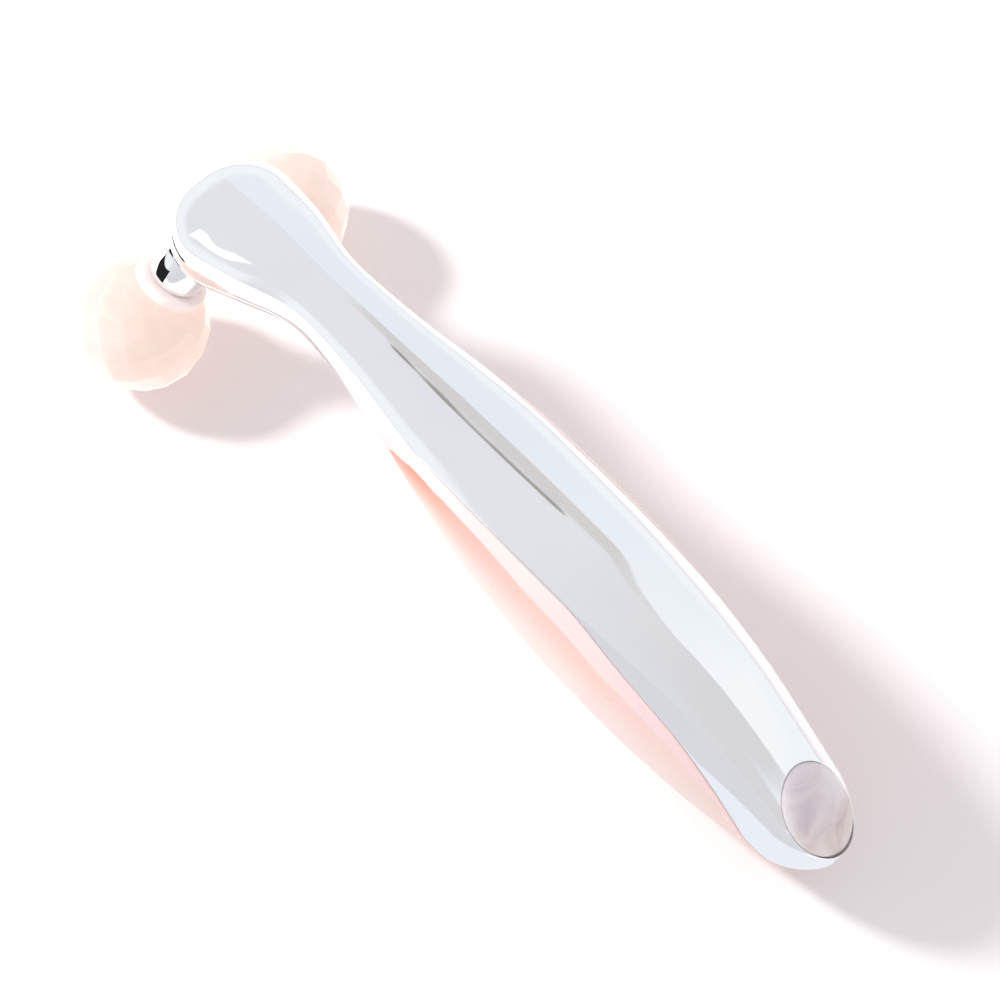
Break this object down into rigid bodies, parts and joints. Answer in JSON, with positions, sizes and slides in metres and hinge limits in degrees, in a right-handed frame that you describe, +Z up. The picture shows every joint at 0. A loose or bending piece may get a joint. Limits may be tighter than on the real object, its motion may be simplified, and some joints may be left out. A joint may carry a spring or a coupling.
{
  "type": "face roller",
  "caption": "Y-shaped face roller: two faceted rose quartz balls spin on a splayed yoke; chrome upper shell, pink lower cover, oval cabochon in the tail.",
  "frame": {"origin": "bottom centre of the box around the whole roller, lying face up on its two balls and the underside of its tail", "axes": "+X from the balls to the tail, +Y to the right-hand ball, +Z up"},
  "size_m": [0.1624, 0.0562, 0.0465],
  "materials": {
    "chrome": "mirror polished plating over plastic",
    "pink_plastic": "satin gloss, moulded",
    "rose_quartz": "cloudy translucent, polished flat facets",
    "frosted_pink": "frosted, semi-translucent",
    "lilac_stone": "polished cabochon, milky translucent",
    "adhesive": "thin foam pad",
    "zinc": "die-cast, matt",
    "weight_steel": "sawn bar, plated",
    "steel": "turned and ground"
  },
  "bodies": {
    "body": {"upper_shell": "chrome", "chin_shell": "chrome", "lower_cover": "pink_plastic", "cabochon": "lilac_stone", "cabochon_pad": "adhesive", "yoke": "zinc", "yoke_screws": "steel", "handle_weight": "weight_steel", "weight_screws": "steel", "left_axle": "steel", "left_axle_screw": "steel", "left_collar": "chrome", "left_thrust_washer": "steel", "left_retaining_clip": "steel", "right_axle": "steel", "right_axle_screw": "steel", "right_collar": "chrome", "right_thrust_washer": "steel", "right_retaining_clip": "steel"},
    "left_roller": {"left_hub_sleeve": "frosted_pink", "left_ball": "rose_quartz"},
    "right_roller": {"right_hub_sleeve": "frosted_pink", "right_ball": "rose_quartz"}
  },
  "joints": [
    {"name": "left_spin", "type": "hinge", "parent": "body", "child": "left_roller", "pos_m": [-0.06934, -0.0162, 0.01193], "axis": [-0.1693, -0.5807, -0.7963], "continuous": true},
    {"name": "right_spin", "type": "hinge", "parent": "body", "child": "right_roller", "pos_m": [-0.06934, 0.0162, 0.01193], "axis": [-0.1693, 0.5807, -0.7963], "continuous": true}
  ]
}
